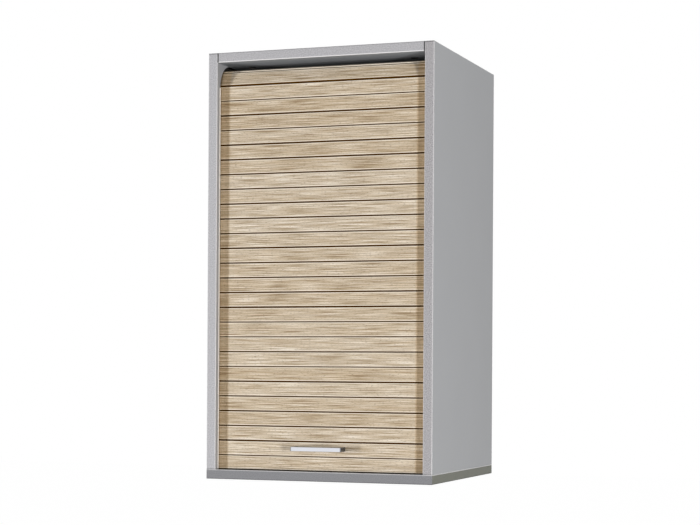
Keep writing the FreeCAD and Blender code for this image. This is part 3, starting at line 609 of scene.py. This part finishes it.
def edging_strip(name, across, outside, inward, axis, ends, white_and_highlight, dark, joints, tone, node=None,
                 across_first=False):
    """A strip along an axis. Its section lies between two places across, its depth d runs from
    the outside to outside + inward d. White is the share of whitening on each arris, partly from
    scraping and partly painted highlight; dark is the share of painted shade on each arris, and
    joints the share of painted shade, with dust, at each end."""
    low, high = across
    step = WHITE_WIDTH if high > low else -WHITE_WIDTH
    corners = [(low, 0), (high, 0), (high, EDGING_THICK), (low, EDGING_THICK)]
    outline = rounded(corners, [EDGING_ROUND, EDGING_ROUND, SAWN_CORNER, SAWN_CORNER])
    arc = len(outline) // 4
    outline = np.insert(outline, arc, [(low + step, 0), (high - step, 0)], axis=0)
    place = np.stack([outline[:, 0], outline[:, 1] * inward + outside], 1) * MM
    near = np.array([0, JOINT_WIDTH, JOINT_WIDTH + JOINT_FADE])
    run = np.concatenate([ends[0] + near, ends[1] - near[::-1]])
    sections = straight_run(place if across_first else place[:, ::-1], axis, run * MM)
    piece = skin(name, sections, "cabinet", abs_edging, [node] if node else ())
    spread = [arc, 2, arc, 2 * arc]
    # painted shade at the joints, with dust, and on some arrises; the arrises' whitening is partly
    # painted highlight
    joint_dust_and_shade = np.array([joints[0]] * 2 + [0, 0] + [joints[1]] * 2)
    painted_arris_shade = np.repeat([dark[0], 0, dark[1], 0], spread)
    mark(piece, "arris", np.tile(np.repeat([white_and_highlight[0], 0, white_and_highlight[1], 0], spread), len(run)))
    mark(piece, "shade", np.maximum(joint_dust_and_shade[:, None], painted_arris_shade))
    mark(piece, "tone", np.full(sections.shape[:2], tone))


end_low, end_high = cad_extent("end_edgings")
END_RUN = (end_low[1], end_high[1])
for side, sign, white_and_highlight, tone in (("right", 1, (0.3, 0.6), 0.0), ("left", -1, (0.6, 0.2), 1.0)):
    edging_strip(f"{side}_front_strip", (INNER_X * sign, OUTER_X * sign), FRONT_PLANE, 1, 2,
                 (BOARD, TOP), white_and_highlight, (0, 0), (0.25, 0.4), tone, f"{side}_front_edging", True)
    edging_strip(f"{side}_lower_end_strip", (0, BOARD), OUTER_X * sign, -sign, 1, END_RUN,
                 (0, 0.9), (0.7, 0), (0, 0), 0.0, "end_edgings" if sign > 0 else None)
    edging_strip(f"{side}_upper_end_strip", (INNER_X * sign, OUTER_X * sign), TOP, -1, 1, END_RUN,
                 (0.2, 0.2), (0, 0), (0, 0), tone, across_first=True)
edging_strip("top_front_strip", (TOP - BOARD, TOP), FRONT_PLANE, 1, 0, (-INNER_X, INNER_X),
             (0.9, 0), (0, 0.4), (0.9, 0.8), 0.8, "top_front_edging")
edging_strip("bottom_front_strip", (0, BOARD), FRONT_PLANE, 1, 0, (-OUTER_X, OUTER_X), (0, 0.5),
             (0.55, 0), (0, 0), 1.0, "bottom_front_edging")
shelf_low, shelf_high = cad_extent("shelf_edging")
edging_strip("shelf_front_strip", (shelf_low[2], shelf_high[2]), shelf_low[1], 1, 0,
             (shelf_low[0], shelf_high[0]), (0.4, 0.4), (0, 0), (0, 0), 0.8, "shelf_edging")
print("strips on the ends run in Y from", np.round(END_RUN, 1), "mm")

# %% [markdown]
# ## The slats
# Each slat is a plastic profile, 25 mm with the gap to the next one. It has rounded arrises at the
# front, a tapered back that lets it lean in the bend, and a keyhole slot along each edge for the
# hinge strips. An outline with rounded corners carried along X gives all of that, also the slots,
# which a beginner might cut with a boolean. They are part of the outline, so the skin is one clean
# surface. Thirty-one hinges set the slats' places: a straight run up the front, then the bend
# under the top panel, where each slat leans back to the next hinge. The strips have a little play
# in their slots, so the gaps of a hanging shutter differ in width, some fine and some wide. Under
# the lowest slat a wider gap leaves the rubber seal in sight, as a dark line along the foot.

# %% Slat profile
PITCH = 25.0
GAP, GAP_RANGE, FOOT_GAP = 1.8, (1.0, 2.1), 3.6
LOWEST_HINGE = 15.4
HINGE_DEPTH = 17.0
SLAT_PLACES = np.array([-190.7, -183.4, -182, -177, 177, 182, 183.4, 190.7])
# painted shade at the slats' ends: its share at each place along X
PAINTED_END_SHADE = [1, 1, 0.3, 0, 0, 0.3, 1, 1]
STRAIGHT_SLATS = 26
BEND_HINGES = [(26.04, 688.71), (50.33, 694.6), (75.33, 694.6), (100.33, 694.6)]
FACE, REAR, EDGE_FLAT, REAR_TAPER = -3.0, 5.0, 1.2, 2.0
SLOT_INSET, SLOT_HALF, NECK_HALF = 3.2, 1.6, 0.65
SLAT_ROUNDS = [1.0, 0.2, 0.1, 0.8, 1.3, 1.3, 0.8, 0.1, 0.15, 0.15, 0.6]
WHITE_FADE, FOIL_WRAP, BEND_WRAP, ARRIS_WIDTH = 2.2, 0.24, 1.3, 1.05

hinge = np.array([(HINGE_DEPTH, LOWEST_HINGE + PITCH * n) for n in range(STRAIGHT_SLATS + 1)]
                 + BEND_HINGES)
lean = np.degrees(np.arctan2(*np.diff(hinge, axis=0).T))


def half_outline(gap):
    """The upper half of a slat's section, with this gap above it."""
    high = PITCH - gap / 2
    slot = PITCH - GAP / 2 - SLOT_INSET
    return [(FACE, high), (-NECK_HALF, high), (-NECK_HALF, slot + SLOT_HALF),
            (-SLOT_HALF, slot + SLOT_HALF), (-SLOT_HALF, slot - SLOT_HALF),
            (SLOT_HALF, slot - SLOT_HALF), (SLOT_HALF, slot + SLOT_HALF),
            (NECK_HALF, slot + SLOT_HALF), (NECK_HALF, high), (EDGE_FLAT, high),
            (REAR, high - REAR_TAPER)]


def slat_outline(gap_below, gap_above):
    """Depth and height of the slat's section, from its lower hinge, in millimetres."""
    upper = half_outline(gap_above)
    lower = [(y, PITCH - z) for y, z in half_outline(gap_below)[::-1]]
    fade = [(FACE, gap_below / 2 + WHITE_FADE), (FACE, PITCH - gap_above / 2 - WHITE_FADE)]
    return np.concatenate([rounded(upper + lower, SLAT_ROUNDS + SLAT_ROUNDS[::-1]), fade])


def leaned(outline, on_hinge, with_slat):
    """The outline turned back by the lean of a slat and set on a hinge, in metres."""
    turned_by = math.radians(lean[with_slat])
    y = outline[:, 0] * math.cos(turned_by) + outline[:, 1] * math.sin(turned_by)
    z = outline[:, 1] * math.cos(turned_by) - outline[:, 0] * math.sin(turned_by)
    depth, height = hinge[on_hinge]
    return np.stack([FRONT_PLANE + depth + y, height + z], 1) * MM


print("leans in the bend:", [round(float(v), 1) for v in lean[STRAIGHT_SLATS:]])

# %% Slats
FOIL_SEED, FOIL_METRES = 7, 4

random = np.random.default_rng(FOIL_SEED)
slat_tones = random.uniform(0, 1, len(lean))
slat_starts = random.uniform(0, FOIL_METRES, (len(lean), 2))
gap_widths = np.r_[FOOT_GAP, random.uniform(*GAP_RANGE, len(hinge) - 1)]


def shutter_skin(number, name, sections, finish, replaced, shift=(0.0, 0.0)):
    """A skin of the shutter. The two lowest slats and the strip between them ride on the lead. The
    pieces of the closed run above them, up to the bend, get a mesh of their own."""
    body = "shutter_lead" if number < 2 else "cabinet"
    piece = skin(name, sections, body, finish, replaced, shift=shift)
    if 2 <= number < STRAIGHT_SLATS:
        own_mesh(piece)
    return piece


def slat_node(number):
    """The CAD node of a slat, counted from the bottom."""
    if number < 2:
        return ("bottom_slat", "handle_slat")[number]
    if number < STRAIGHT_SLATS:
        return f"front_slat_{number - 1:02d}"
    return f"tail_slat_{number - STRAIGHT_SLATS + 1}"


def make_slat(number):
    """A slat, with attributes for its foil, its whitened arrises with their painted highlight, its
    tone and the painted shade at its ends.
    """
    below, above = gap_widths[number:number + 2]
    outline = slat_outline(below, above)
    sections = straight_run(leaned(outline, number, number), 0, SLAT_PLACES * MM)
    name = slat_node(number)
    piece = shutter_skin(number, name + "_decor", sections, oak_foil, [name],
                         slat_starts[number])
    # On the straight slats the foil stops just behind the face, so the dark bare plastic paints the
    # shade in the gaps.
    wrap = FOIL_WRAP if number <= STRAIGHT_SLATS else BEND_WRAP
    wrapped = outline[:, 0] < FACE + wrap
    edge = np.minimum(outline[:, 1] - below / 2, PITCH - above / 2 - outline[:, 1])
    mark(piece, "foil", np.tile(wrapped, len(SLAT_PLACES)))
    mark(piece, "arris", np.tile(wrapped & (edge < ARRIS_WIDTH), len(SLAT_PLACES)))
    mark(piece, "tone", np.full(sections.shape[:2], slat_tones[number]))
    mark(piece, "shade", np.repeat(PAINTED_END_SHADE, len(outline)))
    return piece


slats = [make_slat(number) for number in range(len(lean))]
print("slats:", len(slats), "faces each:", len(slats[0].data.polygons))

# %% [markdown]
# ## The hinge strips
# Between two slats runs a strip of soft PVC: a thin web with a round bead along each edge that
# slides into the slats' slots. Its outline is a dumb-bell, two circles joined by a web. On the bend
# the half above the hinge leans with the slat above it, and the half below with the slat below.

# %% Hinge strips
BEAD_RADIUS, BEAD_STEPS, WEB_HALF = 1.4, 17, 0.5
BEAD_AWAY = GAP / 2 + SLOT_INSET
STRIP_ENDS = (-188.7 * MM, 188.7 * MM)


def strip_outline(number):
    """Two arcs of a bead, one at each end of the web: y = r sin a, z = +-(away + r cos a)."""
    open_by = math.asin(WEB_HALF / BEAD_RADIUS)
    angle = np.linspace(-np.pi + open_by, np.pi - open_by, BEAD_STEPS)
    upper = np.stack([BEAD_RADIUS * np.sin(angle), BEAD_AWAY + BEAD_RADIUS * np.cos(angle)], 1)
    middle = np.array([(WEB_HALF, 0.0)])
    dumb_bell = np.concatenate([upper, middle, -upper, -middle])
    return np.where(dumb_bell[:, 1:] > 0, leaned(dumb_bell, number, number),
                    leaned(dumb_bell, number, number - 1))


def make_strip(number):
    """The strip at one hinge, as a skin along X."""
    replaced = {1: ["lead_hinge_strip"], 2: ["front_hinge_strips"],
                STRAIGHT_SLATS: ["tail_hinge_strips"]}.get(number, [])
    sections = straight_run(strip_outline(number), 0, STRIP_ENDS)
    return shutter_skin(number, f"hinge_strip_{number:02d}", sections, brown_pvc,
                        replaced)


strips = [make_strip(number) for number in range(1, len(lean))]
print("hinge strips:", len(strips))

# %% [markdown]
# ## The handle
# The bow is one flat bar with two feet. Its outside and inside follow two different curves, so the
# bar is thicker in the feet. A row of sections between the two curves, each a rectangle with eased
# corners, gives both the bends and the rounded arrises of the real bar.

# %% Handle
HANDLE_HALF, HANDLE_FOOT = 45.5, 6.5
HANDLE_FRONT, HANDLE_BACK, HANDLE_BAR = -184.0, -162.0, 3.5
HANDLE_LOW, HANDLE_HIGH = 50.2, 57.2
HANDLE_OUTER_BEND, HANDLE_INNER_BEND, BEND_STEPS = 4.0, 2.0, 9
HANDLE_ARRIS, ARRIS_STEPS = 0.7, 5


def bow_curve(half, back, front, radius):
    """One curve of the bow: the left foot, a bend x - r cos a, y - r sin a for a from 0 to 90
    degrees, and the bar, mirrored to the right."""
    angle = np.linspace(0, np.pi / 2, BEND_STEPS)
    bend = np.stack([radius - half - radius * np.cos(angle),
                     front + radius - radius * np.sin(angle)], 1)
    left = np.concatenate([[(-half, back), (-half, (back + front) / 2)], bend,
                           [(-half / 2, front), (-half / 6, front)]])
    return np.concatenate([left, left[::-1] * (-1, 1)])


def bar_sections(inner, outer, low, high, arris):
    """Rectangles with eased corners, from an inner to an outer curve and from low to high. A
    corner's points are r + (w - 2r) c + r u, where c is 0 or 1 and u runs round a circle."""
    span = outer - inner
    width = np.linalg.norm(span, axis=1, keepdims=True)
    toward = span / width
    quarter = np.linspace(0, np.pi / 2, ARRIS_STEPS)
    angle = (np.arange(4)[:, None] * np.pi / 2 + quarter).ravel()
    round_in, round_up = np.cos(angle), np.sin(angle)
    far_in = np.repeat([1, 0, 0, 1], ARRIS_STEPS)
    far_up = np.repeat([1, 1, 0, 0], ARRIS_STEPS)
    across = arris + (width - 2 * arris) * far_in + arris * round_in
    height = low + arris + (high - low - 2 * arris) * far_up + arris * round_up
    sections = np.empty((len(inner), len(angle), 3))
    sections[:, :, :2] = inner[:, None] + toward[:, None] * across[..., None]
    sections[:, :, 2] = height
    return sections * MM


outer_curve = bow_curve(HANDLE_HALF, HANDLE_BACK, HANDLE_FRONT, HANDLE_OUTER_BEND)
inner_curve = bow_curve(HANDLE_HALF - HANDLE_FOOT, HANDLE_BACK, HANDLE_FRONT + HANDLE_BAR,
                        HANDLE_INNER_BEND)
skin("handle_bow", bar_sections(inner_curve, outer_curve, HANDLE_LOW, HANDLE_HIGH, HANDLE_ARRIS),
     "shutter_lead", satin_aluminium, ["handle"], smooth_to=50)
print("handle sections:", len(inner_curve))

# %% [markdown]
# ## The guide rails
# An ivory channel lines each front run of the track. It has a lip towards the front, which is the
# pale line beside the shutter in the photograph, and another towards the inside. Its section lies
# flat and is carried up from just above the bottom board to where the bend begins.

# %% Guide rails
RAIL_SECTION = [(183.5, 9.4), (183.5, 13.2), (191.5, 13.2), (191.5, 22.8), (183, 22.8), (183, 26.8),
                (184, 26.8), (184, 24), (192.5, 24), (192.5, 12), (184, 12), (184, 9.4)]
RAIL_ROUNDS = [0.2, 0.3, 0.2, 0.2, 0.3, 0.45, 0.2, 0.1, 0.3, 0.3, 0.1, 0.2]
RAIL_ENDS = (17.2 * MM, 663 * MM)

section = (rounded(RAIL_SECTION, RAIL_ROUNDS) + (0, FRONT_PLANE)) * MM
for side, sign in (("right", 1), ("left", -1)):
    skin(f"{side}_rail_channel", straight_run(section * (sign, 1), 2, RAIL_ENDS), "cabinet",
         ivory_plastic, [f"{side}_guide_rail"])
print("rail points:", len(section))

# %% [markdown]
# ## Turned parts
# Pins, screws and cams are turned on a lathe, so their skin is a profile carried round an axis. The
# recess of a screw's head is part of the same surface: the rings on the head's face are close
# together, and those inside the recess are pushed in. A cross has |p| or |q| under half its width,
# a hexagon has its largest distance along three directions under half the key's size.

# %% Turned parts
AROUND, RECESS_SLOPE = 64, 0.1


def turned(name, profiles, replaced, recess=None, body="cabinet",
           finish=zinc_plate):
    """Skins round an axis: profiles is a list of (start, direction, (distance, radius) rows), and
    a point lies at start + distance d + radius (cos a u + sin a v). The recess takes the two
    coordinates across the axis and gives how far a point is pushed along it."""
    angle = np.linspace(0, 2 * np.pi, AROUND, endpoint=False)
    for count, (start, direction, rows) in enumerate(profiles):
        axis = np.array(direction)
        side = np.array((0, 0, 1) if abs(axis[2]) < 0.5 else (1, 0, 0))
        other = np.cross(axis, side)
        distance, radius = np.asarray(rows, float).T
        p = radius[:, None] * np.cos(angle)
        q = radius[:, None] * np.sin(angle)
        along = np.repeat(distance[:, None], AROUND, axis=1)
        if recess:
            face = np.isclose(distance, distance[0])[:, None]
            along += np.where(face, recess(p, q), 0)
        sections = (np.array(start) + along[..., None] * axis + p[..., None] * side
                    + q[..., None] * other) * MM
        skin(f"{name}_{count + 1}", sections, body, finish, replaced if count == 0 else ())
    print(name + ":", len(profiles))


def face_rings(distance, radius, rings=16):
    """Rings on a flat face, from near its middle to its rim."""
    return [(distance, r) for r in np.linspace(radius * 0.03, radius, rings)]


def cross_recess(width, length, deep):
    """Pushes in what lies in either bar of a cross, with sloped sides."""
    def push(p, q):
        a, b = np.minimum(abs(p), abs(q)), np.maximum(abs(p), abs(q))
        inside = np.minimum(width / 2 - a, length / 2 - b)
        return deep * np.clip(inside / RECESS_SLOPE, 0, 1)
    return push


def hexagon_recess(key, deep):
    """Pushes in what lies in a hexagon whose opposite sides are the key's size apart."""
    def push(p, q):
        turns = np.radians([0, 60, 120])[:, None, None]
        reach = abs(p * np.cos(turns) + q * np.sin(turns)).max(0)
        return deep * np.clip((key / 2 - reach) / RECESS_SLOPE, 0, 1)
    return push


# %% Shelf pins, cams and screws
PIN_DEPTHS, PIN_HEIGHT = (68, 262), 352
CAM_DEPTHS, CAM_X = (62, 280), 147
JOINT_DEPTHS, JOINT_X, JOINT_HEAD = (50, 250), 192, 0.5
PLATE_X, PLATE_DEPTH, PLATE_HEIGHTS = 182, 349.5, (632, 668)
HANDLE_SCREW_X, HANDLE_MIDDLE, SLAT_BACK = 42.25, 53.7, 22

PIN_ROWS = [(-8, 2.1), (-7.6, 2.5), (0, 2.5), (0.0, 4.2), (0.3, 4.5), (1.0, 4.5), (1.2, 4.2),
            (1.2, 2.5), (7.5, 2.5), (8, 2.0)]
CAM_ROWS = [*face_rings(0.1, 6.8), (0.5, 7.2), (12.3, 7.2), (12.5, 7.0)]
JOINT_ROWS = [*face_rings(0, 4.5), (0.25, 4.75), (3, 3.5), (15.4, 3.5), (15.5, 2.5), (47, 2.5),
              (50, 1.2)]
PLATE_SCREW_ROWS = [*face_rings(-2.2, 2.0), (-1.9, 2.9), (-1.2, 3.6), (-0.5, 3.8), (0, 3.8),
                    (0, 2.0), (10, 2.0), (14, 0.5)]
HANDLE_SCREW_ROWS = [*face_rings(-2.4, 2.0), (-2.1, 2.9), (-1.3, 3.6), (-0.6, 3.8), (0, 3.8),
                     (0, 2.0), (19.5, 2.0), (20, 1.5)]

turned("shelf_pin", [((INNER_X * s, FRONT_PLANE + d, PIN_HEIGHT), (-s, 0, 0), PIN_ROWS)
                     for d in PIN_DEPTHS for s in (1, -1)], ["shelf_pins"])
turned("cam_lock", [((CAM_X * s, FRONT_PLANE + d, TOP - BOARD), (0, 0, 1), CAM_ROWS)
                    for d in CAM_DEPTHS for s in (1, -1)],
       ["cam_locks"], cross_recess(width=1.8, length=9.0, deep=2.4),
       finish=cast_zinc)
turned("joint_screw", [((JOINT_X * s, FRONT_PLANE + d, JOINT_HEAD), (0, 0, 1), JOINT_ROWS)
                       for d in JOINT_DEPTHS for s in (1, -1)],
       ["joint_screws"], hexagon_recess(key=4.0, deep=2.8))
turned("plate_screw", [((PLATE_X * s, FRONT_PLANE + PLATE_DEPTH, z), (s, 0, 0), PLATE_SCREW_ROWS)
                       for z in PLATE_HEIGHTS for s in (1, -1)],
       ["hanging_plate_screws"], cross_recess(width=0.8, length=3.2, deep=1.1))
turned("handle_screw", [((x, FRONT_PLANE + SLAT_BACK, HANDLE_MIDDLE), (0, -1, 0), HANDLE_SCREW_ROWS)
                        for x in (-HANDLE_SCREW_X, HANDLE_SCREW_X)],
       ["handle_screws"], cross_recess(width=0.8, length=3.2, deep=1.2), body="shutter_lead")

# %% [markdown]
# ## Pressed plates
# A hanging plate is cut and bent from 2 mm steel, and the press leaves its edges slightly rounded.
# The CAD solid has the right bend, holes and eye, so a copy of its mesh is merged, because CAD
# meshes are loose triangles, and a bevel limited to sharp edges eases them. The rubber stops at the
# track's rear end get the softer edges of a moulding in the same way.

# %% Hanging plates and travel stops
PRESSED_EDGE, MOULDED_EDGE, MERGE_WITHIN = 0.3 * MM, 0.8 * MM, 0.01 * MM


def eased_copy(node, name, width, finish, body="cabinet"):
    """A copy of a CAD node with its sharp edges bevelled, which replaces the node."""
    copy = put(name, frame["nodes"][node].data.copy())
    merge = copy.modifiers.new("merge", "WELD")
    merge.merge_threshold = MERGE_WITHIN
    bevel = copy.modifiers.new("ease", "BEVEL")
    bevel.width = width
    bevel.segments = 2
    bevel.limit_method = "ANGLE"
    bevel.angle_limit = math.radians(50)
    copy.data.materials.clear()
    copy.data.materials.append(finish)
    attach(copy, body)
    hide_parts(node)


eased_copy("hanging_plates", "hanging_plates_pressed", PRESSED_EDGE, zinc_plate)
eased_copy("travel_stops", "travel_stops_moulded", MOULDED_EDGE, black_rubber)
print("eased edges:", round(PRESSED_EDGE / MM, 2), "and", round(MOULDED_EDGE / MM, 2), "mm")

# %% [markdown]
# ## Floor, background and light
# The cabinet hangs on a wall, so the floor lies well below it, pale and plain. The photograph was
# cut out on white: the world and the floor look white to the camera, and to mirrors and glass, but
# light the object only softly. Two upright strip lamps stand left and right of the front, a little
# over fifty degrees off it. They draw the two shadows of the side panels along the shutter's ends,
# and they stand low, so the handle's shadow lies above it. A third, wide lamp stands high behind
# the cabinet and lights the top and the back, which only the other views show.

# %% Floor and world
FLOOR_LEVEL = -1.8
FLOOR_HALF = 30.0
AMBIENT = 0.1
FLOOR_GLOW = 0.97


def seen_directly(add):
    """1 for camera, glossy and transmission rays, 0 for the rays that light the object."""
    camera_ray, glossy_ray, through_ray = [
        add("LightPath", out=f"Is {kind} Ray") for kind in ("Camera", "Glossy", "Transmission")]
    either = add("Math", {0: camera_ray, 1: glossy_ray}, operation="MAXIMUM")
    return add("Math", {0: either, 1: through_ray}, operation="MAXIMUM")


world = bpy.data.worlds.new("studio")
world.use_nodes = True
world.node_tree.nodes.clear()
add = node_adder(world.node_tree)
strength = add("MapRange", {0: seen_directly(add), 3: AMBIENT, 4: 1.0})
add("OutputWorld", {"Surface": add("Background", {"Color": (1, 1, 1, 1), "Strength": strength})})
bpy.context.scene.world = world

floor_finish, add = new_material("pale_floor")
matte = add("BsdfDiffuse", {"Color": linear("#8c8c8c")})
glow = add("Emission", {"Color": (1, 1, 1, 1),
                        "Strength": add("MapRange", {0: seen_directly(add), 4: FLOOR_GLOW})})
add("OutputMaterial", {"Surface": add("AddShader", {0: matte, 1: glow})})

floor_mesh = bpy.data.meshes.new("floor")
floor_mesh.from_pydata([(x * FLOOR_HALF, y * FLOOR_HALF, FLOOR_LEVEL)
                        for x, y in ((-1, -1), (1, -1), (1, 1), (-1, 1))], [], [(0, 1, 2, 3)])
floor_mesh.materials.append(floor_finish)
floor = put("floor", floor_mesh)
print("floor level:", FLOOR_LEVEL, "m")

# %% Lamps
LAMP_TARGET = Vector((0, FRONT_PLANE * MM, TOP * MM / 2))
LAMP_HEIGHT = 1.4
STRIP_AWAY, STRIP_WATTS, STRIP_WIDTH, STRIP_RISE = 4.0, 121, 0.453, -0.5
FILL_AWAY, FILL_WATTS, FILL_WIDTH, FILL_RISE = 3.5, 135, 1.6, 3.0


def lamp(name, degrees, distance, watts, width, rise):
    """A strip lamp that faces the cabinet from an angle off its front, right is positive."""
    angle = math.radians(degrees)
    light = bpy.data.lights.new(name, "AREA")
    light.shape = "RECTANGLE"
    light.size, light.size_y = width, LAMP_HEIGHT
    light.energy = watts
    stand = put(name, light)
    stand.location = LAMP_TARGET + Vector((math.sin(angle) * distance,
                                           -math.cos(angle) * distance, rise))
    stand.rotation_mode = "QUATERNION"
    stand.rotation_quaternion = (LAMP_TARGET - stand.location).to_track_quat("-Z", "Y")
    stand.visible_camera = False
    stand.visible_glossy = False


for name, degrees in (("left_strip", -52.8), ("right_strip", 51.4)):
    lamp(name, degrees, STRIP_AWAY, STRIP_WATTS, STRIP_WIDTH, STRIP_RISE)
lamp("back_fill", 180, FILL_AWAY, FILL_WATTS, FILL_WIDTH, FILL_RISE)

# %% [markdown]
# ## Finish
# The view transform is Standard, so a colour comes out as it was written.

# %% Finish
bpy.context.scene.view_settings.view_transform = "Standard"
